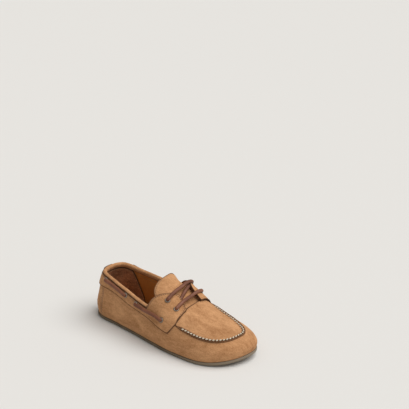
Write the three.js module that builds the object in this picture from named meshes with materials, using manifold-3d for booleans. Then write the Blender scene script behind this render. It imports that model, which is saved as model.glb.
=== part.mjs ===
// Moccasin, right shoe: a suede boat-shoe upper with its lace, linings, inner stack and thin sole.
// Millimetres. Toe towards +X, lateral side towards -Y, +Z up, origin on the ground under the middle.
import * as THREE from 'three';
import Module from 'manifold-3d';

// ---- overall sizes, mm ----
const HEEL_X = -137.5;            // feather line at the back of the heel
const TOE_X = 132.0;              // feather line at the tip of the toe
const HEEL_TURN_X = -100;         // behind this the outline turns round the heel
const TOE_TURN_X = 65;            // in front of this it turns round the toe
const TOE_TIP_Y = 3;
const HEEL_TIP_Y = -3;
const FEATHER_Z = 4.6;            // lower edge of the upper, on top of the sole
const TOE_SPRING = 8;             // rise of the sole under the toe
const SPRING_FROM_X = 72;
const WALL_BULGE = 2.4;
const HEEL_LEAN = 5;              // how far the back of the heel leans in at the collar

function table(rows) {
  const xs = rows.map((row) => row[0]);
  const ys = rows.map((row) => row[1]);
  const slope = rows.slice(1).map((row, i) => (row[1] - ys[i]) / (row[0] - xs[i]));
  const tangent = xs.map((_, i) => {
    if (i === 0 || i === xs.length - 1) return 0;
    if (slope[i - 1] * slope[i] <= 0) return 0;
    return (2 * slope[i - 1] * slope[i]) / (slope[i - 1] + slope[i]);
  });
  return (x) => {
    if (x <= xs[0]) return ys[0];
    if (x >= xs[xs.length - 1]) return ys[ys.length - 1];
    let i = 0;
    while (x > xs[i + 1]) i += 1;
    const h = xs[i + 1] - xs[i];
    const t = (x - xs[i]) / h;
    const a = (1 + 2 * t) * (1 - t) * (1 - t);
    const b = t * (1 - t) * (1 - t);
    const c = t * t * (3 - 2 * t);
    const d = t * t * (t - 1);
    return a * ys[i] + b * h * tangent[i] + c * ys[i + 1] + d * h * tangent[i + 1];
  };
}

// ---- plan shape: half widths of the feather line to each side ----
const lateralHalf = table([[-100, 35.5], [-71, 38.8], [-37, 43.8], [-2, 50.3], [33, 55], [65, 55.8]]);
const medialHalf = table([[-100, 29.5], [-71, 29.8], [-37, 30], [-2, 32.5], [33, 39.5], [65, 44.3]]);
const spineY = table([[-100, -3], [-40, 0], [-10, 3], [10, 4], [30, 2], [50, -2], [65, -4]]);
// ---- side view: height of the crest, and how square each section is ----
const crest = table([[-100, 90], [-60, 92], [-40, 89], [-20, 81.5], [-10, 79], [0, 76], [10, 72],
  [20, 66], [30, 60], [40, 55.5], [50, 51.5], [65, 46.5], [81, 42], [100, 38.7], [115, 37.4], [133, 36]]);
const squareness = table([[-100, 2.6], [-60, 2.5], [-20, 2.6], [10, 3.0], [30, 2.9], [50, 2.6], [65, 2.5],
  [100, 2.8], [133, 2.9]]);

function quarter(cx, cy, a, b, m, n) {
  const pts = [];
  for (let i = 0; i < n; i += 1) {
    const t = (i / n) * Math.PI / 2;
    pts.push([cx + a * Math.cos(t) ** (2 / m), cy + b * Math.sin(t) ** (2 / m)]);
  }
  return pts;
}

function outlinePoints() {
  const n = 60;
  const heelLat = quarter(HEEL_TURN_X, HEEL_TIP_Y, HEEL_X - HEEL_TURN_X, -lateralHalf(-100) - HEEL_TIP_Y, 2.15, n);
  const toeLat = quarter(TOE_TURN_X, TOE_TIP_Y, TOE_X - TOE_TURN_X, -lateralHalf(65) - TOE_TIP_Y, 2.0, n);
  const toeMed = quarter(TOE_TURN_X, TOE_TIP_Y, TOE_X - TOE_TURN_X, medialHalf(65) - TOE_TIP_Y, 2.0, n);
  const heelMed = quarter(HEEL_TURN_X, HEEL_TIP_Y, HEEL_X - HEEL_TURN_X, medialHalf(-100) - HEEL_TIP_Y, 2.15, n);
  const side = [];
  for (let i = 0; i <= 120; i += 1) side.push(HEEL_TURN_X + (TOE_TURN_X - HEEL_TURN_X) * i / 120);
  return [
    ...heelLat,
    ...side.map((x) => [x, -lateralHalf(x)]),
    ...toeLat.slice(1).reverse(),
    ...toeMed,
    ...side.map((x) => [x, medialHalf(x)]).reverse(),
    ...heelMed.slice(1).reverse(),
  ];
}

const RING = outlinePoints();
const RING_LENGTH = [0];
for (let i = 1; i <= RING.length; i += 1) {
  const [a, b] = [RING[i - 1], RING[i % RING.length]];
  RING_LENGTH.push(RING_LENGTH[i - 1] + Math.hypot(b[0] - a[0], b[1] - a[1]));
}
const AROUND = RING_LENGTH[RING.length];   // length once round the outline

function outline(u) {
  const s = ((u % AROUND) + AROUND) % AROUND;
  let [low, high] = [0, RING.length];
  while (high - low > 1) {
    const mid = (low + high) >> 1;
    if (RING_LENGTH[mid] <= s) low = mid;
    else high = mid;
  }
  const t = (s - RING_LENGTH[low]) / (RING_LENGTH[low + 1] - RING_LENGTH[low]);
  const p = [-1, 0, 1, 2].map((k) => RING[(low + k + RING.length) % RING.length]);
  const w = [
    (-t + 2 * t * t - t * t * t) / 2, (2 - 5 * t * t + 3 * t * t * t) / 2,
    (t + 4 * t * t - 3 * t * t * t) / 2, (-t * t + t * t * t) / 2,
  ];
  return [0, 1].map((k) => w[0] * p[0][k] + w[1] * p[1][k] + w[2] * p[2][k] + w[3] * p[3][k]);
}

const TOE_U = (() => {
  let best = 0;
  for (let u = 0; u < AROUND; u += 0.25) if (outline(u)[0] > outline(best)[0]) best = u;
  return best;
})();

// distance along the outline of the point above x, on the lateral (-1) or the medial (+1) side
function sideU(side, x) {
  let [low, high] = [0, TOE_U];
  const place = (d) => (side < 0 ? d : AROUND - d * (AROUND - TOE_U) / TOE_U);
  for (let i = 0; i < 40; i += 1) {
    const mid = (low + high) / 2;
    if (outline(place(mid))[0] < x) low = mid;
    else high = mid;
  }
  return place((low + high) / 2);
}

const feather = (x) => FEATHER_Z + TOE_SPRING * Math.max(0, (x - SPRING_FROM_X) / (TOE_X - SPRING_FROM_X)) ** 2;

function skinPoint(u, phi) {
  const o = outline(u);
  const [a, b] = [outline(u - 0.8), outline(u + 0.8)];
  const run = Math.hypot(b[0] - a[0], b[1] - a[1]);
  const out = [(b[1] - a[1]) / run, -(b[0] - a[0]) / run];
  const cx = Math.min(TOE_TURN_X, Math.max(HEEL_TURN_X, o[0]));
  const cy = spineY(cx);
  const n = squareness(o[0]);
  const r = Math.max(0, Math.cos(phi)) ** (2 / n);
  const x = cx + (o[0] - cx) * r;
  const y = cy + (o[1] - cy) * r;
  const z = feather(x) + (crest(x) - feather(x)) * Math.sin(phi) ** (2 / n);
  const f = Math.min(1, Math.max(0, (z - feather(x)) / 36));
  const bulge = WALL_BULGE * 6.75 * f * (1 - f) * (1 - f);
  const back = Math.max(0, (HEEL_TURN_X - o[0]) / (HEEL_TURN_X - HEEL_X)) ** 2;
  const lean = HEEL_LEAN * back * Math.min(1, Math.max(0, (z - 12) / 58)) ** 1.4;
  return [x + out[0] * bulge + lean, y + out[1] * bulge, z];
}

function skin(u, phi, off = 0) {
  const p = skinPoint(u, phi);
  if (off === 0) return p;
  const [p1, p2] = [skinPoint(u - 1, phi), skinPoint(u + 1, phi)];
  const [q1, q2] = [skinPoint(u, Math.max(1e-4, phi - 0.02)), skinPoint(u, Math.min(Math.PI / 2, phi + 0.02))];
  const s = [0, 1, 2].map((k) => p2[k] - p1[k]);
  const t = [0, 1, 2].map((k) => q2[k] - q1[k]);
  const c = [s[1] * t[2] - s[2] * t[1], s[2] * t[0] - s[0] * t[2], s[0] * t[1] - s[1] * t[0]];
  const len = Math.hypot(...c);
  return [0, 1, 2].map((k) => p[k] + off * c[k] / len);
}

// the angle up the section at which the skin has height z
function phiAtZ(u, z) {
  let [low, high] = [0, Math.PI / 2];
  for (let i = 0; i < 40; i += 1) {
    const mid = (low + high) / 2;
    if (skinPoint(u, mid)[2] < z) low = mid;
    else high = mid;
  }
  return (low + high) / 2;
}

// the angle at which the section has the fraction r of its half width
const phiAtR = (u, r) => Math.acos(Math.min(1, Math.max(0, r)) ** (squareness(outline(u)[0]) / 2));

// place on the skin above the plan point x, y
function overPlan(x, y) {
  const side = y < spineY(x) ? -1 : 1;
  const u = sideU(side, x);
  const half = Math.abs(outline(u)[1] - spineY(x));
  return [u, phiAtR(u, Math.abs(y - spineY(x)) / half)];
}

// ---- pieces, mm ----
const CLEARANCE = 0.3;            // between neighbouring layers
const SUEDE = 1.6;                // thickness of the suede parts
const WALL_IN = -1.7;             // inner face of wall and apron; their outer face is the skin itself
const SADDLE_IN = 0.45;
const SADDLE_OUT = SADDLE_IN + SUEDE;
const LINING_OUT = -2.4;          // first inner layer: quarter linings, tongue and counter
const LINING_IN = -3.5;
const HEEL_LINING_OUT = -4.05;    // second inner layer, over the counter
const HEEL_LINING_IN = -5.0;
const LIP_HEIGHT = 2.0;           // how far the edges of the raised seam stand up
const SEAM_FROM_X = 39.5;          // the lips rise from nothing here
const SEAM_FULL_X = 47;
const THREAD_R = 0.45;
const COLLAR_R = 3.5;
const COLLAR_OFF = -1.5;
const COLLAR_SKIN = 1.2;
const FOAM_R = 1.9;
const NOTCH_X = -17;              // where the collar ends beside the tongue
const APRON_REAR_X = 31;
const TONGUE_FRONT_X = 35;
const TONGUE_REAR_X = -19;
const LACE_WIDE = 3.4;
const LACE_THICK = 2.1;
const LACE_LOW = -1.0;            // lace centre where it runs under the suede
const LACE_HIGH = 4.4;           // lace centre just outside an eyelet
const LACE_RUN = 3.55;            // lace centre in the middle of a visible run
const LACE_BEND = 1.5;
const LACE_ARCH = 1.4;             // how much higher a bar over the tongue leaves its eyelets
const EYELET_FLANGE_R = 3.65;
const EYELET_HOLE_R = 2.3;
const EYELET_BARREL_R = 2.75;
const EYELET_CUT_R = 2.95;
const EYELET_TOP = 2.8;
const SOLE_OUT = 1.0;             // how far the sole stands out past the feather line
const FILLER_TOP = 6.6;
const BOARD_TOP = 8.3;
const CUSHION_TOP = 10.6;
const SOCK_THICK = 1.2;

const ease = (a, b, x) => {
  const t = Math.min(1, Math.max(0, (x - a) / (b - a)));
  return t * t * (3 - 2 * t);
};
const mix = (a, b, t) => a + (b - a) * t;
const mix3 = (a, b, t) => [0, 1, 2].map((k) => mix(a[k], b[k], t));
const sub = (a, b) => [0, 1, 2].map((k) => a[k] - b[k]);
const plus = (a, b, s = 1) => [0, 1, 2].map((k) => a[k] + b[k] * s);
const dot = (a, b) => a[0] * b[0] + a[1] * b[1] + a[2] * b[2];
const cross = (a, b) => [a[1] * b[2] - a[2] * b[1], a[2] * b[0] - a[0] * b[2], a[0] * b[1] - a[1] * b[0]];
const unit = (a) => a.map((v) => v / Math.hypot(...a));

// ---- lines drawn on the skin ----
const collarLateral = table([[-139, 73.5], [-112, 72.8], [-100, 71], [-84, 67], [-62, 62.8], [-39.6, 57.8],
  [-17, 54.5]]);
const collarMedial = table([[-139, 73.5], [-113, 72.3], [-96, 70], [-76, 67.8], [-56, 65.8], [-38, 64],
  [-17, 61]]);
const saddleLow = table([[-139, 49], [-120, 52], [-105, 52.3], [-48.5, 42.2], [-7, 36.8], [29, 29.9]]);
const seamLateral = table([[31, 0.64], [37, 0.66], [60, 0.741], [84.5, 0.779], [101, 0.79], [114.7, 0.823],
  [126, 0.86], [131, 0.9]]);
const seamMedial = table([[31, 0.77], [40, 0.81], [50, 0.87], [60, 0.93], [70, 0.98], [89, 1.0], [109.5, 0.995],
  [122, 0.945], [131, 0.9]]);

const sideOf = (u) => (((u % AROUND) + AROUND) % AROUND < TOE_U ? -1 : 1);
const collarZ = (u) => (sideOf(u) < 0 ? collarLateral : collarMedial)(outline(u)[0]);
const seamPhi = (u) => (sideOf(u) < 0 ? seamLateral : seamMedial)(outline(u)[0]);
const mmPerPhi = (u, phi) => Math.hypot(...sub(skinPoint(u, phi + 0.01), skinPoint(u, phi - 0.01))) / 0.02;

// the medial facing stands up towards its inner edge, pulled by the lace under it
function lift(u, phi) {
  if (sideOf(u) < 0) return 0;
  const [x, y] = skinPoint(u, phi);
  return 3.4 * (1 - ease(15, 33, y)) * ease(-16, 2, x) * (1 - ease(30, 44, x));
}
const coat = (u, phi, off) => skin(u, phi, off + lift(u, phi));

// ---- stations round the outline ----
function stationXs() {
  const xs = [];
  for (let i = 1; i < 7; i += 1) xs.push(mix(HEEL_TURN_X, HEEL_X, Math.cos((i / 7) * Math.PI / 2)));
  for (let i = 0; i <= 17; i += 1) xs.push(mix(HEEL_TURN_X, TOE_TURN_X, i / 17));
  for (let i = 1; i < 10; i += 1) xs.push(mix(TOE_TURN_X, TOE_X, Math.sin((i / 10) * Math.PI / 2)));
  return xs;
}
const XS = stationXs();
const LATERAL = [0, ...XS.map((x) => sideU(-1, x)), TOE_U];
const MEDIAL = [AROUND, ...XS.map((x) => sideU(1, x)), TOE_U];

// ---- mesh helpers ----
function solid(triangles) {
  const keys = new Map();
  const position = [];
  const index = [];
  const id = (p) => {
    const key = p.map((v) => Math.round(v * 1e4)).join(' ');
    if (!keys.has(key)) {
      keys.set(key, position.length / 3);
      position.push(...p);
    }
    return keys.get(key);
  };
  let volume = 0;
  for (const [a, b, c] of triangles) {
    const [i, j, k] = [id(a), id(b), id(c)];
    if (i === j || j === k || k === i) continue;
    index.push(i, j, k);
    volume += dot(a, cross(b, c));
  }
  if (volume < 0) {
    for (let i = 0; i < index.length; i += 3) [index[i], index[i + 1]] = [index[i + 1], index[i]];
  }
  const geometry = new THREE.BufferGeometry();
  geometry.setAttribute('position', new THREE.Float32BufferAttribute(position, 3));
  geometry.setIndex(index);
  return geometry;
}

const quad = (a, b, c, d) => [[a, b, c], [a, c, d]];

// closed body between two matching grids; a ring joins its last row to its first
function shell(outer, inner, { ring = false, openEnd = false } = {}) {
  const rows = outer.length;
  const cols = outer[0].length;
  const out = [];
  const last = ring ? rows : rows - 1;
  for (let i = 0; i < last; i += 1) {
    const k = (i + 1) % rows;
    for (let j = 0; j < cols - 1; j += 1) {
      out.push(...quad(outer[i][j], outer[k][j], outer[k][j + 1], outer[i][j + 1]));
      out.push(...quad(inner[i][j + 1], inner[k][j + 1], inner[k][j], inner[i][j]));
    }
    out.push(...quad(inner[i][0], inner[k][0], outer[k][0], outer[i][0]));
    if (!openEnd) {
      out.push(...quad(outer[i][cols - 1], outer[k][cols - 1], inner[k][cols - 1], inner[i][cols - 1]));
    }
  }
  if (!ring) {
    for (let j = 0; j < cols - 1; j += 1) {
      out.push(...quad(outer[0][j], outer[0][j + 1], inner[0][j + 1], inner[0][j]));
      out.push(...quad(inner[rows - 1][j], inner[rows - 1][j + 1], outer[rows - 1][j + 1], outer[rows - 1][j]));
    }
  }
  return solid(out);
}

// closed body through a row of closed sections with the same number of points
function loft(sections, { caps = true, flat = null } = {}) {
  const out = [];
  const n = sections[0].length;
  for (let i = 0; i + 1 < sections.length; i += 1) {
    for (let j = 0; j < n; j += 1) {
      const k = (j + 1) % n;
      out.push(...quad(sections[i][j], sections[i + 1][j], sections[i + 1][k], sections[i][k]));
    }
  }
  if (flat) {
    const contour = flat.map(([a, b]) => new THREE.Vector2(a, b));
    const tris = THREE.ShapeUtils.triangulateShape(contour, []);
    const turn = THREE.ShapeUtils.isClockWise(contour) ? 1 : -1;
    const [first, end] = [sections[0], sections[sections.length - 1]];
    for (const [a, b, c] of tris) {
      out.push([first[a], first[b], first[c]]);
      out.push([end[c], end[b], end[a]]);
    }
  } else if (caps) {
    for (const [section, turn] of [[sections[0], 1], [sections[sections.length - 1], -1]]) {
      const mid = section.reduce((sum, p) => plus(sum, p, 1 / n), [0, 0, 0]);
      for (let j = 0; j < n; j += 1) {
        const [a, b] = [section[j], section[(j + 1) % n]];
        out.push(turn > 0 ? [mid, a, b] : [mid, b, a]);
      }
    }
  }
  return solid(out);
}

// a band of skin between two lines of [u, phi] with the same number of points
function band(low, high, rows, outOff, inOff, place = skin) {
  const face = (off) => low.map((a, i) => {
    const b = high[i];
    const line = [];
    for (let j = 0; j <= rows; j += 1) {
      const [u, phi] = [mix(a[0], b[0], j / rows), mix(a[1], b[1], j / rows)];
      line.push(place(u, phi, typeof off === 'function' ? off(u, phi) : off));
    }
    return line;
  });
  return shell(face(outOff), face(inOff));
}

const group = new THREE.Group();
const finishes = {
  suede: new THREE.MeshStandardMaterial({ color: 0xb98a5e, roughness: 0.95 }),
  suede_lining: new THREE.MeshStandardMaterial({ color: 0x6b4530, roughness: 0.95 }),
  tan_leather: new THREE.MeshStandardMaterial({ color: 0xa8692f, roughness: 0.6 }),
  rawhide: new THREE.MeshStandardMaterial({ color: 0x7a4532, roughness: 0.5 }),
  sole_rubber: new THREE.MeshStandardMaterial({ color: 0x5e5038, roughness: 0.85 }),
  eyelet_metal: new THREE.MeshStandardMaterial({ color: 0x6b5f50, metalness: 1, roughness: 0.4 }),
  thread: new THREE.MeshStandardMaterial({ color: 0xf0dcc0, roughness: 0.8 }),
  foam: new THREE.MeshStandardMaterial({ color: 0xd8cdb8, roughness: 0.95 }),
  board: new THREE.MeshStandardMaterial({ color: 0x8a7458, roughness: 0.9 }),
};

function add(name, geometry, finish) {
  geometry.computeVertexNormals();
  const mesh = new THREE.Mesh(geometry, finishes[finish].clone());
  mesh.name = name;
  group.add(mesh);
}

// ---- sole and inner stack ----
function outlineOut(u, d) {
  const o = outline(u);
  const [a, b] = [outline(u - 0.8), outline(u + 0.8)];
  const run = Math.hypot(b[0] - a[0], b[1] - a[1]);
  return [o[0] + d * (b[1] - a[1]) / run, o[1] - d * (b[0] - a[0]) / run];
}
const spring = (x) => feather(x) - FEATHER_Z;

// a plate whose section is a list of [distance out, height] from its lower to its upper edge
function plate(profile, first = 0, last = XS.length + 1) {
  const sections = [];
  for (let i = first; i <= last; i += 1) {
    const half = (u) => profile.map(([d, z]) => {
      const x0 = outline(u)[0];
      const [x, y] = outlineOut(u, typeof d === 'function' ? d(x0) : d);
      return [x, y, (typeof z === 'function' ? z(x) : z) + spring(x)];
    });
    sections.push([...half(LATERAL[i]), ...half(MEDIAL[i]).reverse()]);
  }
  return sections;
}

add('outsole', loft(plate([[0, 0], [SOLE_OUT, 0.9], [SOLE_OUT, 3.6], [0.5, 4.3]]), { caps: false }), 'sole_rubber');

const innerEdge = (x) => mix(-5.6, -2.6, ease(52, 64, x));
const sockLow = (x) => mix(CUSHION_TOP + CLEARANCE, BOARD_TOP + CLEARANCE, ease(-76, -58, x));
add('midsole_filler', loft(plate([[innerEdge, FEATHER_Z], [innerEdge, FILLER_TOP]]), { caps: false }), 'foam');
add('insole_board', loft(plate([[innerEdge, FILLER_TOP + CLEARANCE], [innerEdge, BOARD_TOP]]), { caps: false }),
  'board');
add('sock_lining', loft(plate([[innerEdge, sockLow], [innerEdge, (x) => sockLow(x) + SOCK_THICK]]), { caps: false }),
  'tan_leather');
const cushionEdge = -6.6;
const cushionEnd = XS.findIndex((x) => x > -84);
add('heel_cushion', loft(plate([[cushionEdge, BOARD_TOP + CLEARANCE], [cushionEdge, CUSHION_TOP]], 0, cushionEnd),
  { caps: true }), 'foam');

// ---- vamp wall ----
const rise = (u) => ease(SEAM_FROM_X, SEAM_FULL_X, outline(u)[0]);
function wallTop(u) {
  const x = outline(u)[0];
  const low = phiAtZ(u, saddleLow(x) + 4.2);
  return mix(low, seamPhi(u), ease(20, 31, x));
}
const wallU = [...LATERAL.slice(1), ...MEDIAL.slice(1, -1).reverse()];
wallU.unshift(0.3);
wallU.push(AROUND - 0.3);
const WALL_ROWS = 7;
const wallOuter = [];
const wallInner = [];
for (const u of wallU) {
  const g = rise(u);
  const top = wallTop(u);
  const mm = 1 / mmPerPhi(u, top);
  const foot = top - 1.85 * mm * g;
  const edge = top - 0.15 * mm;
  const rows = (end, off) => Array.from({ length: WALL_ROWS }, (_, j) => skin(u, (end * j) / WALL_ROWS, off));
  wallOuter.push([
    ...rows(foot, 0), skin(u, foot, 0), skin(u, mix(foot, edge, 0.06 * g), LIP_HEIGHT * 0.9 * g),
    skin(u, edge - 0.65 * mm * g, LIP_HEIGHT * 1.05 * g), skin(u, edge, 1.1 * g),
  ]);
  const inner = skin(u, edge, WALL_IN);
  wallInner.push([...rows(foot, WALL_IN), skin(u, foot, WALL_IN), inner, inner, inner]);
}
add('vamp_wall', shell(wallOuter, wallInner), 'suede');

// ---- apron ----
const apronFrom = XS.findIndex((x) => x > APRON_REAR_X) + 1;
const apronU = [...LATERAL.slice(apronFrom), ...MEDIAL.slice(apronFrom, -1).reverse()];
const APRON_ROWS = 4;
function onSpine(u, off) {
  const x = Math.min(TOE_TURN_X, outline(u)[0]);
  const at = Math.round(x * 1e4) / 1e4;
  const n = unit([crest(at - 1) - crest(at + 1), 0, 2]);
  return plus([at, spineY(at), crest(at)], n, off);
}
const apronOuter = [];
const apronInner = [];
for (const u of apronU) {
  const g = rise(u);
  const top = seamPhi(u);
  const mm = 1 / mmPerPhi(u, top);
  const edge = top + 0.15 * mm;
  const foot = edge + 1.7 * mm * Math.max(g, 0.2);
  const fractions = Array.from({ length: APRON_ROWS }, (_, j) => 1 - (j + 1) / APRON_ROWS);
  const rStart = Math.cos(foot) ** (2 / squareness(outline(u)[0]));
  const rows = (off) => fractions.map((f) => (f === 0 ? onSpine(u, off) : skin(u, phiAtR(u, rStart * f), off)));
  apronOuter.push([
    skin(u, edge, 1.1 * g), skin(u, edge + 0.65 * mm * g, LIP_HEIGHT * 0.85 * g),
    skin(u, mix(foot, edge, 0.06), LIP_HEIGHT * 0.7 * g), skin(u, foot, 0), ...rows(0),
  ]);
  const inner = skin(u, edge, WALL_IN);
  apronInner.push([inner, inner, inner, skin(u, foot, WALL_IN), ...rows(WALL_IN)]);
}
add('apron', shell(apronOuter, apronInner, { openEnd: true }), 'suede');

// ---- thread in the raised seam ----
function tube(points, radius, sides) {
  const sections = points.map((p, i) => {
    const t = unit(sub(points[Math.min(points.length - 1, i + 1)], points[Math.max(0, i - 1)]));
    const w = unit(cross([0, 0, 1], t));
    const b = cross(t, w);
    return Array.from({ length: sides }, (_, k) => {
      const a = (k / sides) * 2 * Math.PI;
      return plus(plus(p, w, radius * Math.cos(a)), b, radius * Math.sin(a));
    });
  });
  return loft(sections);
}
const threadU = [];
const [threadFrom, threadTo] = [sideU(-1, SEAM_FULL_X + 0.5), sideU(1, SEAM_FULL_X + 0.5)];
for (let i = 0; i <= 64; i += 1) threadU.push(mix(threadFrom, threadTo, i / 64));
add('moc_seam_thread', tube(threadU.map((u) => skin(u, seamPhi(u), 2.2)), THREAD_R, 6), 'thread');

// ---- tongue and its lining ----
// half width of the tongue as a fraction of the section's, and how far its rear end stands up
const tongueWide = table([[-19, 0.38], [-17.5, 0.54], [-15, 0.64], [-12, 0.7], [-5, 0.73], [5, 0.68], [20, 0.55],
  [35, 0.45]]);
const tongueRise = (x, f) => 4.5 * (1 - ease(-14, 2, x + 12 * Math.abs(f))) * (1 + 0.4 * ease(-0.2, 0.4, f));
function tongueGrid(off, inset) {
  const grid = [];
  const marks = [0, 0.01, 0.03, 0.055, 0.09, 0.14, 0.2, 0.28, 0.37, 0.46, 0.55, 0.64, 0.73, 0.82, 0.91, 1];
  for (const mark of marks) {
    const x = mix(TONGUE_REAR_X + inset, TONGUE_FRONT_X - inset, mark);
    const line = [];
    for (let j = 0; j <= 10; j += 1) {
      const f = (tongueWide(x - inset * (1 - mark)) - inset / 45) * (j / 5 - 1);
      const half = f < 0 ? lateralHalf(x) + spineY(x) : medialHalf(x) - spineY(x);
      const [u, phi] = overPlan(x, spineY(x) + f * half);
      line.push(skin(u, phi, off + tongueRise(x, f)));
    }
    grid.push(line);
  }
  return grid;
}
add('tongue', shell(tongueGrid(LINING_OUT, 0), tongueGrid(LINING_OUT - 1.6, 0)), 'suede');
add('tongue_lining', shell(tongueGrid(LINING_OUT - 2.15, 2), tongueGrid(LINING_OUT - 3.05, 2)), 'tan_leather');

// ---- saddles, with the facings ----
const tops = 4.5;                 // the saddle stops this far below the top of the collar roll
const onSide = (side, x, z) => {
  const u = sideU(side, x);
  return [u, phiAtZ(u, z)];
};
const FRONT = [
  // lower line: x, half-width fraction or null on the lower edge; upper line: x, lateral and medial fraction
  [[-10, null], [-13.5, 0.78, 0.78]],
  [[-3, null], [-8.5, 0.7, 0.7]],
  [[5, null], [-3, 0.62, 0.62]],
  [[13, null], [3.5, 0.51, 0.52]],
  [[20, null], [9.5, 0.4, 0.4]],
  [[25, null], [15.8, 0.293, 0.25]],
  [[29.2, null], [23, 0.33, 0.19]],
  [[33, 0.92], [30, 0.375, 0.17]],
  [[36, 0.85], [34, 0.405, 0.18]],
  [[37.6, 0.68], [37.8, 0.43, 0.2]],
];
function saddleLines(side) {
  const us = (side < 0 ? LATERAL : MEDIAL).slice(1).filter((u) => outline(u)[0] < NOTCH_X - 4);
  us.unshift(side < 0 ? 0.3 : AROUND - 0.3);
  us.push(sideU(side, NOTCH_X));
  const low = us.map((u) => [u, phiAtZ(u, saddleLow(outline(u)[0]))]);
  const high = us.map((u) => [u, phiAtZ(u, collarZ(u) - tops)]);
  for (const [[lx, lr], [hx, ...hr]] of FRONT) {
    const spot = (x, r) => {
      const u = sideU(side, x);
      return [u, phiAtR(u, r)];
    };
    low.push(lr === null ? onSide(side, lx, saddleLow(lx)) : spot(lx, lr));
    high.push(spot(hx, hr[side < 0 ? 0 : 1]));
  }
  return [low, high];
}

// ---- eyelets ----
const spotOnSide = (side, x, z) => ({ side, at: onSide(side, x, z) });
const spotOverPlan = (side, x, y) => ({ side, at: overPlan(x, y) });
const EYELETS = {
  lateral_side_1: spotOnSide(-1, -105.5, 63.6),
  lateral_side_2: spotOnSide(-1, -61.5, 54.4),
  lateral_side_3: spotOnSide(-1, -39, 48.9),
  lateral_side_4: spotOnSide(-1, 14.3, 43.8),
  lateral_front_1: spotOverPlan(-1, 11.2, -31.5),
  lateral_front_2: spotOverPlan(-1, 26.8, -32.3),
  medial_side_1: spotOnSide(1, -105.5, 63.4),
  medial_side_2: spotOnSide(1, -61.5, 57),
  medial_side_3: spotOnSide(1, -39, 53),
  medial_side_4: spotOnSide(1, 14.3, 44.5),
  medial_front_1: spotOverPlan(1, 8.5, 20.5),
  medial_front_2: spotOverPlan(1, 24.5, 22),
};

// frame at an eyelet: centre on the coat, outward normal, and the direction up the section
function eyeletFrame({ at: [u, phi] }) {
  const c = coat(u, phi, 0);
  const along = unit(sub(coat(u + 3, phi, 0), coat(u - 3, phi, 0)));
  const upward = unit(sub(coat(u, phi + 0.05, 0), coat(u, phi - 0.05, 0)));
  const n = unit(cross(along, upward));
  return { c, n, along, up: cross(n, along) };
}

function turned(frame, profile, sides, turn = 0) {
  const out = [];
  const at = (k, [r, h]) => {
    const a = ((k + turn) / sides) * 2 * Math.PI;
    return plus(plus(plus(frame.c, frame.along, r * Math.cos(a)), frame.up, r * Math.sin(a)), frame.n, h);
  };
  for (let k = 0; k < sides; k += 1) {
    profile.forEach((p, i) => {
      const q = profile[(i + 1) % profile.length];
      out.push(...quad(at(k, p), at(k + 1, p), at(k + 1, q), at(k, q)));
    });
  }
  return solid(out);
}

const EYELET_PROFILE = [
  [EYELET_HOLE_R, 0.15], [EYELET_BARREL_R, 0.15], [EYELET_BARREL_R, SADDLE_OUT + 0.2],
  [EYELET_FLANGE_R, SADDLE_OUT + 0.2], [EYELET_FLANGE_R - 0.35, EYELET_TOP - 0.1],
  [EYELET_BARREL_R + 0.1, EYELET_TOP], [EYELET_HOLE_R, EYELET_TOP - 0.35],
];
for (const [name, eyelet] of Object.entries(EYELETS)) {
  add(`eyelet_${name}`, turned(eyeletFrame(eyelet), EYELET_PROFILE, 14), 'eyelet_metal');
}

const wasm = await Module();
wasm.setup();
function toManifold(geometry) {
  return new wasm.Manifold(new wasm.Mesh({
    numProp: 3,
    vertProperties: new Float32Array(geometry.attributes.position.array),
    triVerts: new Uint32Array(geometry.index.array),
  }));
}
function fromManifold(body) {
  const mesh = body.getMesh();
  const geometry = new THREE.BufferGeometry();
  const points = [];
  for (let i = 0; i < mesh.vertProperties.length; i += mesh.numProp) {
    points.push(...mesh.vertProperties.slice(i, i + 3));
  }
  geometry.setAttribute('position', new THREE.Float32BufferAttribute(points, 3));
  geometry.setIndex(Array.from(mesh.triVerts));
  return geometry;
}
function cylinder(frame, radius, from, to, sides) {
  const ring = (h) => Array.from({ length: sides }, (_, k) => {
    const a = (k / sides) * 2 * Math.PI;
    const p = plus(plus(frame.c, frame.along, radius * Math.cos(a)), frame.up, radius * Math.sin(a));
    return plus(p, frame.n, h);
  });
  return toManifold(loft([ring(from), ring(to)]));
}
function saddle(side) {
  const [low, high] = saddleLines(side);
  let body = toManifold(band(low, high, 6, SADDLE_OUT, SADDLE_IN, coat));
  for (const eyelet of Object.values(EYELETS)) {
    if (eyelet.side === side) body = body.subtract(cylinder(eyeletFrame(eyelet), EYELET_CUT_R, -1.6, 3.6, 14));
  }
  return fromManifold(body);
}
add('lateral_quarter', saddle(-1), 'suede');
add('medial_quarter', saddle(1), 'suede');

// ---- back strip over the two joints at the heel ----
const stripU = [-10, -7.5, -5, -2.5, 0, 2.5, 5, 7.5, 10];
const STRIP_THICK = 1.3;
function stripFace(depth) {
  return stripU.map((u) => {
    const top = collarZ(u) - tops;
    return [5.2, 14, 24, 35, 45, 48, 54, 61, top].map((z) => {
      const base = z > 46 ? SADDLE_OUT + CLEARANCE : CLEARANCE;
      return skin(u, phiAtZ(u, z), base + depth);
    });
  });
}
add('back_strip', shell(stripFace(STRIP_THICK), stripFace(0)), 'suede');

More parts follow.
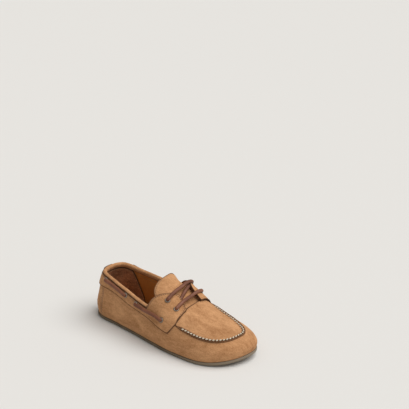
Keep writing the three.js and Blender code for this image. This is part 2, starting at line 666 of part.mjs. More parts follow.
// ---- counter and linings ----
function sweepU(side, fromX, toX, step) {
  const [a, b] = [sideU(side, fromX), sideU(side, toX)];
  const n = Math.max(1, Math.round(Math.abs(b - a) / step));
  return Array.from({ length: n + 1 }, (_, i) => mix(a, b, i / n));
}
function heelBand(lowX, highX, lowZ, highZ, rows, outOff, inOff) {
  const n = 26;
  const from = [sideU(1, lowX) - AROUND, sideU(1, highX) - AROUND];
  const to = [sideU(-1, lowX), sideU(-1, highX)];
  const low = [];
  const high = [];
  for (let i = 0; i <= n; i += 1) {
    const a = mix(from[0], to[0], i / n);
    const b = mix(from[1], to[1], i / n);
    low.push([a, phiAtZ(a, lowZ(a))]);
    high.push([b, phiAtZ(b, highZ(b))]);
  }
  return band(low, high, rows, outOff, inOff);
}
add('heel_counter', heelBand(-90, -108, () => 5.6, () => 52, 7, LINING_OUT, LINING_IN), 'board');
add('heel_lining', heelBand(-80, -98, () => 5.6, (u) => collarZ(u) - COLLAR_R - 4.0, 8, HEEL_LINING_OUT,
  HEEL_LINING_IN), 'suede_lining');
function quarterLining(side) {
  const low = [];
  const high = [];
  const lowX = [-88, -76, -65, -54, -43, -32, -21, -10, 0, 9, 18, 27, 36, 45, 54];
  const highX = [-106, -91, -77, -63.5, -51, -39, -27.5, -16, -5, 6, 17, 27, 36, 45, 54];
  lowX.forEach((x, i) => {
    const u = sideU(side, x);
    low.push([u, phiAtZ(u, 5.6)]);
    const v = sideU(side, highX[i]);
    const hx = highX[i];
    const underCollar = phiAtZ(v, collarZ(v) - COLLAR_R - 3.2);
    const underFacing = phiAtR(v, mix(0.83, 0.8, ease(-18, 0, hx)));
    const underSeam = phiAtR(v, 0.86);
    const front = mix(underFacing, underSeam, ease(25, 45, hx));
    high.push([v, mix(Math.min(underCollar, underFacing), front, ease(-12, -2, hx))]);
  });
  return band(low, high, 7, LINING_OUT, LINING_IN);
}
add('lateral_quarter_lining', quarterLining(-1), 'tan_leather');
add('medial_quarter_lining', quarterLining(1), 'tan_leather');

// ---- collar roll ----
function collarFrames() {
  const from = sideU(1, NOTCH_X) - AROUND;
  const to = sideU(-1, NOTCH_X);
  const n = 46;
  return Array.from({ length: n + 1 }, (_, i) => {
    const u = mix(from, to, i / n);
    const phi = phiAtZ(u, collarZ(u) - COLLAR_R);
    const c = skin(u, phi, COLLAR_OFF);
    const n3 = unit(sub(skin(u, phi, 1), skin(u, phi, 0)));
    const t = unit(sub(skin(u + 2, phi, COLLAR_OFF), skin(u - 2, phi, COLLAR_OFF)));
    return { c, n: n3, up: unit(cross(n3, t)) };
  });
}
const frames = collarFrames();
const arc = (r, from, to, n) => Array.from({ length: n + 1 }, (_, i) => {
  const a = (mix(from, to, i / n) * Math.PI) / 180;
  return [r * Math.cos(a), r * Math.sin(a)];
});
const rollSection = [
  ...arc(COLLAR_R, -10, 180, 7), [-COLLAR_R, -3.4],
  [-COLLAR_R + COLLAR_SKIN, -3.4], ...arc(COLLAR_R - COLLAR_SKIN, -15, 180, 5).reverse(),
];
const alongCollar = (section) => frames.map((f) => section.map(([a, b]) => plus(plus(f.c, f.n, a), f.up, b)));
add('collar_binding', loft(alongCollar(rollSection), { flat: rollSection }), 'suede');
add('collar_foam', loft(alongCollar(arc(FOAM_R, 0, 300, 5))), 'foam');

// ---- lace: one length, round the heel, along both sides and twice over the tongue ----
const laceFrames = Object.fromEntries(Object.entries(EYELETS).map(([name, eyelet]) => [name, eyeletFrame(eyelet)]));
const flatDir = (frame, from, to) => {
  const d = sub(to, from);
  return unit(plus(d, frame.n, -dot(d, frame.n)));
};

// points of the lace through an eyelet, from the hidden side out, or the other way round
function passage(name, before, after, outwards) {
  const f = laceFrames[name];
  const [dIn, dOut] = [flatDir(f, before, f.c), flatDir(f, f.c, after)];
  const points = [];
  const [start, end] = outwards ? [LACE_LOW, LACE_HIGH] : [LACE_HIGH, LACE_LOW];
  const s = Math.sign(end - start);
  for (const deg of [0, 30, 60, 90]) {
    const a = (deg * Math.PI) / 180;
    const h = start + s * LACE_BEND * (1 - Math.cos(a));
    points.push({ p: plus(plus(f.c, f.n, h), dIn, -LACE_BEND * (1 - Math.sin(a))), n: f.n, bend: deg > 20 });
  }
  for (const deg of [0, 30, 60, 90]) {
    const a = (deg * Math.PI) / 180;
    const h = end - s * LACE_BEND * (1 - Math.sin(a));
    points.push({ p: plus(plus(f.c, f.n, h), dOut, LACE_BEND * (1 - Math.cos(a))), n: f.n, bend: deg < 70 });
  }
  return points;
}

// points between two eyelets, straight on the unrolled side or straight over the plan
function run(nameA, nameB, high, { plan = false, rise: bow = 0, step = 7, wrap = 0 } = {}) {
  const [a, b] = [laceFrames[nameA], laceFrames[nameB]];
  const [ea, eb] = [EYELETS[nameA].at, EYELETS[nameB].at];
  const length = Math.hypot(...sub(b.c, a.c));
  const n = Math.max(3, Math.round((wrap || length) / step));
  const skip = LACE_BEND / (wrap || length);
  const points = [];
  for (let i = 1; i < n; i += 1) {
    const t = mix(skip, 1 - skip, i / n);
    let [u, phi] = [mix(ea[0], eb[0] - (wrap ? AROUND : 0), t), mix(ea[1], eb[1], t)];
    if (plan) [u, phi] = overPlan(mix(a.c[0], b.c[0], t), mix(a.c[1], b.c[1], t));
    const near = Math.min(1, Math.min(t, 1 - t) * length / 9);
    let off = high ? mix(LACE_HIGH + (plan ? LACE_ARCH : 0), LACE_RUN, near) : LACE_LOW;
    off += bow * Math.sin(Math.PI * t);
    const p = coat(u, phi, off);
    points.push({ p, n: unit(sub(coat(u, phi, off + 1), p)), bend: false });
  }
  return points;
}

function laceEnd(name, dir, length) {
  const f = laceFrames[name];
  const [u0, phi0] = EYELETS[name].at;
  const n = Math.round(length / 3);
  return Array.from({ length: n }, (_, i) => {
    const t = (LACE_BEND + 0.5 + (length * (i + 1)) / n);
    const p = coat(u0 + (dir[0] * t), phi0 + (dir[1] * t) / mmPerPhi(u0, phi0), LACE_LOW);
    return { p, n: f.n, bend: false };
  });
}

function lacePoints() {
  const c = (name) => laceFrames[name].c;
  const m1 = laceEnd('medial_side_4', [0, 1], 9).reverse();
  const m2 = laceEnd('medial_front_2', [-0.25, -0.97], 8);
  const heelHide = run('lateral_side_1', 'medial_side_1', false, { wrap: 96, step: 5.5 });
  return [
    ...m1,
    ...passage('medial_side_4', m1[m1.length - 1].p, c('medial_side_3'), true),
    ...run('medial_side_4', 'medial_side_3', true),
    ...passage('medial_side_3', c('medial_side_4'), c('medial_side_2'), false),
    ...run('medial_side_3', 'medial_side_2', false),
    ...passage('medial_side_2', c('medial_side_3'), c('medial_side_1'), true),
    ...run('medial_side_2', 'medial_side_1', true),
    ...passage('medial_side_1', c('medial_side_2'), heelHide[heelHide.length - 1].p, false),
    ...heelHide.reverse(),
    ...passage('lateral_side_1', heelHide[heelHide.length - 1].p, c('lateral_side_2'), true),
    ...run('lateral_side_1', 'lateral_side_2', true),
    ...passage('lateral_side_2', c('lateral_side_1'), c('lateral_side_3'), false),
    ...run('lateral_side_2', 'lateral_side_3', false),
    ...passage('lateral_side_3', c('lateral_side_2'), c('lateral_side_4'), true),
    ...run('lateral_side_3', 'lateral_side_4', true),
    ...passage('lateral_side_4', c('lateral_side_3'), c('lateral_front_1'), false),
    ...run('lateral_side_4', 'lateral_front_1', false),
    ...passage('lateral_front_1', c('lateral_side_4'), c('medial_front_1'), true),
    ...run('lateral_front_1', 'medial_front_1', true, { plan: true, rise: 0.8 }),
    ...passage('medial_front_1', c('lateral_front_1'), c('lateral_front_2'), false),
    ...run('medial_front_1', 'lateral_front_2', false, { plan: true }),
    ...passage('lateral_front_2', c('medial_front_1'), c('medial_front_2'), true),
    ...run('lateral_front_2', 'medial_front_2', true, { plan: true, rise: 0.8 }),
    ...passage('medial_front_2', c('lateral_front_2'), m2[0].p, false),
    ...m2,
  ];
}

function lace() {
  const points = lacePoints();
  const tangent = points.map((_, i) => unit(sub(points[Math.min(points.length - 1, i + 1)].p,
    points[Math.max(0, i - 1)].p)));
  const wide = points.map((q, i) => (q.bend ? null : unit(cross(q.n, tangent[i]))));
  let seen = wide[0];
  for (let i = 0; i < wide.length; i += 1) {
    if (!wide[i]) continue;
    if (dot(wide[i], seen) < 0) wide[i] = wide[i].map((v) => -v);
    seen = wide[i];
  }
  for (let i = 0; i < wide.length; i += 1) {
    if (wide[i]) continue;
    let [a, b] = [i, i];
    while (!wide[a]) a -= 1;
    while (points[b].bend) b += 1;
    const t = (i - a) / (b - a);
    const w = mix3(wide[a], wide[b], t);
    points[i].w = w;
  }
  const sections = points.map((q, i) => {
    const raw = wide[i] || q.w;
    const w = unit(plus(raw, tangent[i], -dot(raw, tangent[i])));
    const thick = cross(tangent[i], w);
    return Array.from({ length: 8 }, (_, k) => {
      const a = ((k + 0.5) / 8) * 2 * Math.PI;
      const [x, y] = [Math.cos(a) / Math.cos(Math.PI / 8), Math.sin(a) / Math.cos(Math.PI / 8)];
      return plus(plus(q.p, w, (LACE_WIDE / 2) * x * 0.98), thick, (LACE_THICK / 2) * y * 0.98);
    });
  });
  return loft(sections);
}
add('lace', lace(), 'rawhide');

// the origin goes on the ground under the middle
group.updateMatrixWorld(true);
const size = new THREE.Box3().setFromObject(group);
const middle = size.getCenter(new THREE.Vector3());
for (const mesh of group.children) mesh.geometry.translate(-middle.x, -middle.y, -size.min.z);

export default group;
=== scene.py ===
import math
import random

import bmesh
import bpy
from mathutils import Matrix, Vector, kdtree, noise
from mathutils.bvhtree import BVHTree


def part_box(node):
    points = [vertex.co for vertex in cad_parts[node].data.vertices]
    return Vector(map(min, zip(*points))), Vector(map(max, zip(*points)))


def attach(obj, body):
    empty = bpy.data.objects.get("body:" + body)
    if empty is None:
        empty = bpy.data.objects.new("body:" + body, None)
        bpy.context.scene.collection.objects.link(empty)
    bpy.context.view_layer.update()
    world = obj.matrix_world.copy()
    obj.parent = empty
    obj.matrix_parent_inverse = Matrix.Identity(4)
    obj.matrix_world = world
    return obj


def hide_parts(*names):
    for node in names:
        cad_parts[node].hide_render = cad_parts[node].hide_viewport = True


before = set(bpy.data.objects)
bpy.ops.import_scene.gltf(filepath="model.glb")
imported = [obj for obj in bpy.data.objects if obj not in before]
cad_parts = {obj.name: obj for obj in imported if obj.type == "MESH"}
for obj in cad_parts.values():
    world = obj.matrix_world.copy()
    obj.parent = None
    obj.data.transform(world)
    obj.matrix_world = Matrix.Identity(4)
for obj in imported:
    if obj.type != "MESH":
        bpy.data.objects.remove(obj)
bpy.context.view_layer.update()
mm = 0.001
random.seed(7)

# ---- camera, light and floor ----
camera = {"turn": 39.4, "tilt": 27.4, "away": 1.394, "lens": 85.4, "aimRight": 0.0431, "aimUp": 0.1581,
          "target": (0.0039, 0.0057, 0.0272)}


def addCamera():
    turn, tilt = math.radians(camera["turn"]), math.radians(camera["tilt"])
    away = Vector((math.sin(turn) * math.cos(tilt), -math.cos(turn) * math.cos(tilt), math.sin(tilt)))
    target = Vector(camera["target"])
    right = Vector((math.cos(turn), math.sin(turn), 0))
    place = target + away * camera["away"]
    aim = target + right * camera["aimRight"] + away.cross(right) * camera["aimUp"]
    data = bpy.data.cameras.new("camera")
    data.lens = camera["lens"]
    data.clip_end = 40
    ob = bpy.data.objects.new("camera", data)
    ob.location = place
    ob.rotation_euler = (aim - place).to_track_quat("-Z", "Y").to_euler()
    bpy.context.collection.objects.link(ob)
    bpy.context.scene.camera = ob


studio = {"floor": (0.775, 0.758, 0.73), "sky": (1.0, 0.985, 0.95), "skyStrength": 0.33, "sunStrength": 2.45,
          "sunFrom": (0.42, 0.3, 1.0), "sunAngle": 60, "fillStrength": 0.06, "fillFrom": (0.7, -0.9, 0.8), "wallStrength": 1.04, "gap": 0.0003}


def put(tree, kind, values=None, **settings):
    node = tree.nodes.new(kind)
    for key, value in settings.items():
        setattr(node, key, value)
    for key, value in (values or {}).items():
        if isinstance(value, bpy.types.NodeSocket):
            tree.links.new(value, node.inputs[key])
        else:
            node.inputs[key].default_value = value
    return node


def addStudio():
    bpy.context.scene.view_settings.view_transform = "Standard"
    world = bpy.data.worlds.new("studio")
    bpy.context.scene.world = world
    world.use_nodes = True
    tree = world.node_tree
    sky = tree.nodes["Background"]
    sky.inputs["Color"].default_value = (*studio["sky"], 1)
    sky.inputs["Strength"].default_value = studio["skyStrength"]
    wall = put(tree, "ShaderNodeBackground", {"Color": (*studio["floor"], 1), "Strength": studio["wallStrength"]})
    seen = put(tree, "ShaderNodeLightPath").outputs["Is Camera Ray"]
    both = put(tree, "ShaderNodeMixShader", {0: seen, 1: sky.outputs[0], 2: wall.outputs[0]})
    tree.links.new(both.outputs[0], tree.nodes["World Output"].inputs["Surface"])
    for name, strength, where, angle in (("sun", studio["sunStrength"], studio["sunFrom"], studio["sunAngle"]),
                                         ("fill", studio["fillStrength"], studio["fillFrom"], 80)):
        data = bpy.data.lights.new(name, "SUN")
        data.energy = strength
        data.angle = math.radians(angle)
        ob = bpy.data.objects.new(name, data)
        ob.rotation_euler = Vector(where).to_track_quat("Z", "Y").to_euler()
        bpy.context.collection.objects.link(ob)
    bm = bmesh.new()
    bmesh.ops.create_grid(bm, x_segments=2, y_segments=2, size=9)
    mesh = bpy.data.meshes.new("floor")
    bmesh.ops.translate(bm, verts=bm.verts, vec=(0, 0, -studio["gap"]))
    bm.to_mesh(mesh)
    floor = bpy.data.objects.new("floor", mesh)
    bpy.context.collection.objects.link(floor)
    finish = bpy.data.materials.new("floorPaper")
    finish.use_nodes = True
    shader = finish.node_tree.nodes["Principled BSDF"]
    shader.inputs["Base Color"].default_value = (*studio["floor"], 1)
    shader.inputs["Roughness"].default_value = 0.9
    shader.inputs["Specular IOR Level"].default_value = 0.1
    mesh.materials.append(finish)


addCamera()
addStudio()
print("camera and studio placed")


# ---- shared effects as shader groups ----
def newGroup(name, ins, outs):
    group = bpy.data.node_groups.new(name, "ShaderNodeTree")
    for label, kind, value in ins:
        socket = group.interface.new_socket(label, in_out="INPUT", socket_type=kind)
        socket.default_value = value
    for label, kind in outs:
        group.interface.new_socket(label, in_out="OUTPUT", socket_type=kind)
    return group, group.nodes.new("NodeGroupInput"), group.nodes.new("NodeGroupOutput")


def mathNode(tree, operation, a, b=0.0):
    return put(tree, "ShaderNodeMath", {0: a, 1: b}, operation=operation).outputs[0]


def mixColor(tree, factor, a, b):
    return put(tree, "ShaderNodeMix", {0: factor, 6: a, 7: b}, data_type="RGBA").outputs[2]


def spread(tree, value, low, high, first=0.0, last=1.0):
    node = put(tree, "ShaderNodeMapRange", {"Value": value, "From Min": low, "From Max": high, "To Min": first,
                                            "To Max": last})
    return node.outputs["Result"]


def napGroup():
    # brushed suede: broad strokes of the nap, small clouds and a fine felt
    group, ins, outs = newGroup("suedeNap", [("Place", "NodeSocketVector", (0, 0, 0)),
                                             ("Light", "NodeSocketColor", (0.6, 0.4, 0.25, 1)),
                                             ("Dark", "NodeSocketColor", (0.4, 0.25, 0.15, 1)),
                                             ("Strokes", "NodeSocketFloat", 0.5), ("Felt", "NodeSocketFloat", 0.5)],
                                [("Color", "NodeSocketColor"), ("Height", "NodeSocketFloat"),
                                 ("Roughness", "NodeSocketFloat")])
    brushed = put(group, "ShaderNodeMapping", {"Vector": ins.outputs["Place"], "Rotation": (0, 0.5, 0.35),
                                               "Scale": (0.55, 1.0, 1.3)})
    clouds = put(group, "ShaderNodeTexNoise", {"Vector": brushed.outputs[0], "Scale": 48, "Detail": 3,
                                               "Roughness": 0.6, "Distortion": 0.6})
    strokes = put(group, "ShaderNodeTexNoise", {"Vector": brushed.outputs[0], "Scale": 210, "Detail": 3,
                                                "Roughness": 0.55, "Distortion": 0.3})
    felt = put(group, "ShaderNodeTexNoise", {"Vector": ins.outputs["Place"], "Scale": 1900, "Detail": 2,
                                             "Roughness": 0.7})
    broad = spread(group, clouds.outputs["Fac"], 0.34, 0.66)
    fine = spread(group, strokes.outputs["Fac"], 0.3, 0.7)
    shade = mathNode(group, "MULTIPLY", ins.outputs["Strokes"],
                     mathNode(group, "ADD", mathNode(group, "MULTIPLY", broad, 0.6),
                              mathNode(group, "MULTIPLY", fine, 0.4)))
    tufts = put(group, "ShaderNodeTexNoise", {"Vector": ins.outputs["Place"], "Scale": 640, "Detail": 2,
                                              "Roughness": 0.6})
    both = mathNode(group, "ADD", mathNode(group, "MULTIPLY", felt.outputs["Fac"], 0.45),
                    mathNode(group, "MULTIPLY", tufts.outputs["Fac"], 0.55))
    grain = mathNode(group, "MULTIPLY", ins.outputs["Felt"], spread(group, both, 0.36, 0.64))
    factor = put(group, "ShaderNodeMath", {0: shade, 1: mathNode(group, "MULTIPLY", grain, 0.55)},
                 operation="ADD", use_clamp=True).outputs[0]
    color = mixColor(group, factor, ins.outputs["Light"], ins.outputs["Dark"])
    height = mathNode(group, "ADD", mathNode(group, "MULTIPLY", felt.outputs["Fac"], 0.6),
                      mathNode(group, "MULTIPLY", strokes.outputs["Fac"], 0.5))
    rough = spread(group, strokes.outputs["Fac"], 0.3, 0.7, 0.84, 0.98)
    for value, label in ((color, "Color"), (height, "Height"), (rough, "Roughness")):
        group.links.new(value, outs.inputs[label])
    return group


def grainGroup():
    # smooth hide: pebbled cells with softer clouds of dye
    group, ins, outs = newGroup("hideGrain", [("Place", "NodeSocketVector", (0, 0, 0)),
                                              ("Light", "NodeSocketColor", (0.6, 0.3, 0.1, 1)),
                                              ("Dark", "NodeSocketColor", (0.3, 0.15, 0.05, 1)),
                                              ("Cells", "NodeSocketFloat", 900.0)],
                                [("Color", "NodeSocketColor"), ("Height", "NodeSocketFloat"),
                                 ("Roughness", "NodeSocketFloat")])
    cells = put(group, "ShaderNodeTexVoronoi", {"Vector": ins.outputs["Place"], "Scale": ins.outputs["Cells"]})
    clouds = put(group, "ShaderNodeTexNoise", {"Vector": ins.outputs["Place"], "Scale": 42, "Detail": 5,
                                               "Roughness": 0.6})
    factor = put(group, "ShaderNodeMath", {0: spread(group, clouds.outputs["Fac"], 0.3, 0.7, 0, 0.8),
                                           1: mathNode(group, "MULTIPLY", cells.outputs["Distance"], 0.45)},
                 operation="ADD", use_clamp=True).outputs[0]
    group.links.new(mixColor(group, factor, ins.outputs["Light"], ins.outputs["Dark"]), outs.inputs["Color"])
    group.links.new(cells.outputs["Distance"], outs.inputs["Height"])
    group.links.new(spread(group, clouds.outputs["Fac"], 0.3, 0.7, 0.42, 0.66), outs.inputs["Roughness"])
    return group


def wearAndShadeGroup():
    # cut edges are darker than the face, and that darkening runs about a millimetre onto the face as painted shade of
    # the gap beside the edge; the face just inside them is rubbed
    group, ins, outs = newGroup("edgeWearAndGapShade", [("Rim", "NodeSocketFloat", 0.0), ("Color", "NodeSocketColor", (1, 1, 1, 1)),
                                             ("CutAndGapShade", "NodeSocketColor", (0.2, 0.1, 0.05, 1)),
                                             ("Rubbed", "NodeSocketColor", (0.7, 0.5, 0.3, 1)),
                                             ("Amount", "NodeSocketFloat", 0.5)], [("Color", "NodeSocketColor")])
    rubbed = mathNode(group, "MULTIPLY", spread(group, ins.outputs["Rim"], 0.1, 0.7), ins.outputs["Amount"])
    cutAndGapShade = spread(group, ins.outputs["Rim"], 0.62, 0.8)
    face = mixColor(group, rubbed, ins.outputs["Color"], ins.outputs["Rubbed"])
    group.links.new(mixColor(group, cutAndGapShade, face, ins.outputs["CutAndGapShade"]), outs.inputs["Color"])
    return group


groups = {"nap": napGroup(), "grain": grainGroup(), "wear": wearAndShadeGroup()}


def useGroup(tree, group, values):
    node = tree.nodes.new("ShaderNodeGroup")
    node.node_tree = groups[group]
    for key, value in values.items():
        if isinstance(value, bpy.types.NodeSocket):
            tree.links.new(value, node.inputs[key])
        else:
            node.inputs[key].default_value = value
    return node


def startMaterial(name):
    material = bpy.data.materials.new(name)
    material.use_nodes = True
    tree = material.node_tree
    place = tree.nodes.new("ShaderNodeTexCoord").outputs["Object"]
    return material, tree, tree.nodes["Principled BSDF"], place


def bumpInto(tree, shader, height, strength, distance):
    bump = put(tree, "ShaderNodeBump", {"Height": height, "Strength": strength, "Distance": distance})
    tree.links.new(bump.outputs["Normal"], shader.inputs["Normal"])


def suedeMaterial(name, light, dark, cutAndGapShade, rubbed, strokes=0.72, felt=0.8, wear=0.35):
    material, tree, shader, place = startMaterial(name)
    nap = useGroup(tree, "nap", {"Place": place, "Light": (*light, 1), "Dark": (*dark, 1), "Strokes": strokes,
                                 "Felt": felt})
    rim = put(tree, "ShaderNodeAttribute", attribute_name="rim").outputs["Fac"]
    # edge colours: a darker cut edge with painted gap shade just beside it, and a rubbed band further in
    wornAndShaded = useGroup(tree, "wear", {"Rim": rim, "Color": nap.outputs["Color"], "CutAndGapShade": (*cutAndGapShade, 1),
                                   "Rubbed": (*rubbed, 1), "Amount": wear})
    tree.links.new(wornAndShaded.outputs["Color"], shader.inputs["Base Color"])
    tree.links.new(nap.outputs["Roughness"], shader.inputs["Roughness"])
    bumpInto(tree, shader, nap.outputs["Height"], 0.5, 0.00035)
    shader.inputs["Specular IOR Level"].default_value = 0.07
    shader.inputs["Sheen Weight"].default_value = 0.07
    shader.inputs["Sheen Roughness"].default_value = 0.6
    shader.inputs["Sheen Tint"].default_value = (1.0, 0.82, 0.62, 1)
    return material


def hideMaterial(name, light, dark, cells=900, gloss=0.25, bump=0.25):
    material, tree, shader, place = startMaterial(name)
    grain = useGroup(tree, "grain", {"Place": place, "Light": (*light, 1), "Dark": (*dark, 1), "Cells": cells})
    rim = put(tree, "ShaderNodeAttribute", attribute_name="rim").outputs["Fac"]
    # same edge colours: the darker cut edge also paints gap shade just beside it
    wornAndShaded = useGroup(tree, "wear", {"Rim": rim, "Color": grain.outputs["Color"],
                                   "CutAndGapShade": (*[c * 0.6 for c in dark], 1), "Rubbed": (*light, 1), "Amount": 0.3})
    tree.links.new(wornAndShaded.outputs["Color"], shader.inputs["Base Color"])
    tree.links.new(grain.outputs["Roughness"], shader.inputs["Roughness"])
    bumpInto(tree, shader, grain.outputs["Height"], bump, 0.0002)
    shader.inputs["Specular IOR Level"].default_value = gloss * 2
    return material


def soleMaterial():
    material, tree, shader, place = startMaterial("soleRubber")
    speck = put(tree, "ShaderNodeTexNoise", {"Vector": place, "Scale": 900, "Detail": 3, "Roughness": 0.6})
    cloud = put(tree, "ShaderNodeTexNoise", {"Vector": place, "Scale": 35, "Detail": 4, "Roughness": 0.6})
    split = put(tree, "ShaderNodeSeparateXYZ", {"Vector": place})
    body = mixColor(tree, spread(tree, cloud.outputs["Fac"], 0.3, 0.7), (0.13, 0.1, 0.065, 1), (0.19, 0.15, 0.1, 1))
    # the sole's colour turns paler towards the toe
    paleTowardToe = mixColor(tree, spread(tree, split.outputs["X"], 0.03, 0.11), body, (0.27, 0.215, 0.155, 1))
    # painted shadow: the bottom 1.4 mm of the sole and its underside go near-black, standing in for the contact shadow
    # on the floor
    shadedBottom = mixColor(tree, spread(tree, split.outputs["Z"], 0.0, 0.0014), (0.07, 0.055, 0.04, 1), paleTowardToe)
    sipes = put(tree, "ShaderNodeTexWave", {"Vector": place, "Scale": 55, "Distortion": 3.0, "Detail": 0,
                                            "Detail Scale": 6.0}, bands_direction="X")
    low = spread(tree, split.outputs["Z"], 0.0012, 0.0003)
    # painted shade: the sipe grooves on the underside are painted near-black; the same mask also sinks the bump
    groove = mathNode(tree, "MULTIPLY", spread(tree, sipes.outputs["Fac"], 0.12, 0.02), low)
    tree.links.new(mixColor(tree, groove, shadedBottom, (0.02, 0.016, 0.012, 1)), shader.inputs["Base Color"])
    tree.links.new(spread(tree, speck.outputs["Fac"], 0.3, 0.7, 0.62, 0.82), shader.inputs["Roughness"])
    height = mathNode(tree, "SUBTRACT", mathNode(tree, "MULTIPLY", speck.outputs["Fac"], 0.2), groove)
    bumpInto(tree, shader, height, 0.5, 0.0008)
    shader.inputs["Specular IOR Level"].default_value = 0.3
    return material


def metalMaterial():
    material, tree, shader, place = startMaterial("agedMetal")
    stain = put(tree, "ShaderNodeTexNoise", {"Vector": place, "Scale": 700, "Detail": 4, "Roughness": 0.65})
    rim = put(tree, "ShaderNodeAttribute", attribute_name="rim").outputs["Fac"]
    dull = mixColor(tree, spread(tree, stain.outputs["Fac"], 0.35, 0.65), (0.06, 0.048, 0.036, 1), (0.028, 0.022, 0.017, 1))
    bright = mixColor(tree, spread(tree, rim, 0.2, 0.8), dull, (0.34, 0.3, 0.25, 1))
    tree.links.new(bright, shader.inputs["Base Color"])
    tree.links.new(spread(tree, stain.outputs["Fac"], 0.3, 0.7, 0.28, 0.5), shader.inputs["Roughness"])
    shader.inputs["Metallic"].default_value = 0.8
    bumpInto(tree, shader, stain.outputs["Fac"], 0.12, 0.0001)
    return material


def threadMaterial(name, light, dark):
    material, tree, shader, place = startMaterial(name)
    twist = put(tree, "ShaderNodeTexWave", {"Vector": place, "Scale": 900, "Distortion": 2.0, "Detail": 1},
                bands_direction="DIAGONAL")
    tree.links.new(mixColor(tree, twist.outputs["Fac"], (*light, 1), (*dark, 1)), shader.inputs["Base Color"])
    shader.inputs["Roughness"].default_value = 0.7
    shader.inputs["Sheen Weight"].default_value = 0.2
    bumpInto(tree, shader, twist.outputs["Fac"], 0.5, 0.0002)
    return material


def plainFoam(name, light, dark, scale):
    material, tree, shader, place = startMaterial(name)
    pores = put(tree, "ShaderNodeTexVoronoi", {"Vector": place, "Scale": scale})
    tree.links.new(mixColor(tree, pores.outputs["Distance"], (*light, 1), (*dark, 1)), shader.inputs["Base Color"])
    shader.inputs["Roughness"].default_value = 0.9
    bumpInto(tree, shader, pores.outputs["Distance"], 0.4, 0.0004)
    return material


# the third colour of each suede is its cut edge, which also paints the shade of the gap beside the edge; the saddle's
# is darkest, so its edges show a dark painted shade line
finishes = {
    "suede": suedeMaterial("camelSuede", (0.74, 0.4, 0.195), (0.35, 0.16, 0.065), (0.17, 0.08, 0.038),
                           (0.42, 0.225, 0.11)),
    "saddleSuede": suedeMaterial("saddleSuede", (0.73, 0.39, 0.188), (0.34, 0.155, 0.062), (0.11, 0.05, 0.024),
                                 (0.41, 0.215, 0.105)),
    "suede_lining": suedeMaterial("liningSuede", (0.7, 0.36, 0.2), (0.22, 0.1, 0.05), (0.1, 0.05, 0.026),
                                  (0.24, 0.13, 0.07), strokes=0.75, felt=1.1),
    "tan_leather": hideMaterial("tanLining", (0.68, 0.3, 0.065), (0.47, 0.18, 0.035)),
    "sock": hideMaterial("tanSock", (0.55, 0.285, 0.105), (0.42, 0.2, 0.07), gloss=0.2),
    "rawhide": hideMaterial("rawhideLace", (0.3, 0.115, 0.06), (0.13, 0.045, 0.023), cells=1400, gloss=0.16, bump=0.4),
    "sole_rubber": soleMaterial(),
    "eyelet_metal": metalMaterial(),
    "thread": threadMaterial("creamThread", (0.83, 0.75, 0.6), (0.6, 0.5, 0.36)),
    "tonalThread": threadMaterial("tonalThread", (0.22, 0.105, 0.046), (0.12, 0.055, 0.024)),
    "liningThread": threadMaterial("liningThread", (0.5, 0.3, 0.14), (0.3, 0.17, 0.08)),
    "foam": plainFoam("padFoam", (0.78, 0.72, 0.55), (0.5, 0.44, 0.3), 900),
    "board": plainFoam("fibreBoard", (0.5, 0.38, 0.25), (0.34, 0.25, 0.15), 1600),
}
print("materials made")


# ---- finer pieces from the fitted solids ----
def newObject(name, bm, finish, body="shoe"):
    mesh = bpy.data.meshes.new(name)
    bm.to_mesh(mesh)
    bm.free()
    mesh.shade_smooth()
    mesh.materials.append(finishes[finish])
    ob = bpy.data.objects.new(name, mesh)
    bpy.context.collection.objects.link(ob)
    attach(ob, body)
    return ob


def mergedCopy(node, quadAngle=35):
    bm = bmesh.new()
    bm.from_mesh(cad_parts[node].data)
    bmesh.ops.remove_doubles(bm, verts=bm.verts, dist=0.000004)
    bmesh.ops.join_triangles(bm, faces=bm.faces, angle_face_threshold=math.radians(quadAngle),
                             angle_shape_threshold=math.radians(80))
    return bm


def sharpEdges(bm, angle):
    return [e for e in bm.edges if len(e.link_faces) == 2 and e.calc_face_angle(0) > math.radians(angle)]


def smoothed(bm, levels, sharp=45, bevel=0.0):
    # subdivision keeps the creased rims, then a small bevel rounds them
    crease = bm.edges.layers.float.get("crease_edge") or bm.edges.layers.float.new("crease_edge")
    for e in sharpEdges(bm, sharp):
        e[crease] = 1.0
    mesh = bpy.data.meshes.new("work")
    bm.to_mesh(mesh)
    bm.free()
    ob = bpy.data.objects.new("work", mesh)
    bpy.context.collection.objects.link(ob)
    sub = ob.modifiers.new("fine", "SUBSURF")
    sub.levels = sub.render_levels = levels
    sub.boundary_smooth = "ALL"
    out = bmesh.new()
    out.from_mesh(ob.evaluated_get(bpy.context.evaluated_depsgraph_get()).to_mesh())
    bpy.data.objects.remove(ob)
    rims = sharpEdges(out, sharp)
    rimPoints = [v.co.copy() for v in {v for e in rims for v in e.verts}]
    if bevel and rims:
        bmesh.ops.bevel(out, geom=rims, offset=bevel, offset_type="OFFSET", segments=2, profile=0.5, affect="EDGES",
                        clamp_overlap=True, material=-1)
    return out, rimPoints


def paintRim(ob, rimPoints, reach=0.0035):
    # closeness to the cut edge, read by the materials
    rim = ob.data.attributes.new("rim", "FLOAT", "POINT")
    if not rimPoints:
        return
    tree = kdtree.KDTree(len(rimPoints))
    for i, p in enumerate(rimPoints):
        tree.insert(p, i)
    tree.balance()
    for i, v in enumerate(ob.data.vertices):
        rim.data[i].value = max(0.0, 1 - tree.find(v.co)[2] / reach)


suedeMoves = {"soft": 0.00035, "softSize": 26, "ripple": 0.0002, "rippleSize": 75}


def handMade(p):
    # one field for all layers, so that they stay clear of each other
    soft = noise.noise(p * suedeMoves["softSize"]) * suedeMoves["soft"]
    return soft + noise.noise(p * suedeMoves["rippleSize"] + Vector((3, 1, 7))) * suedeMoves["ripple"]


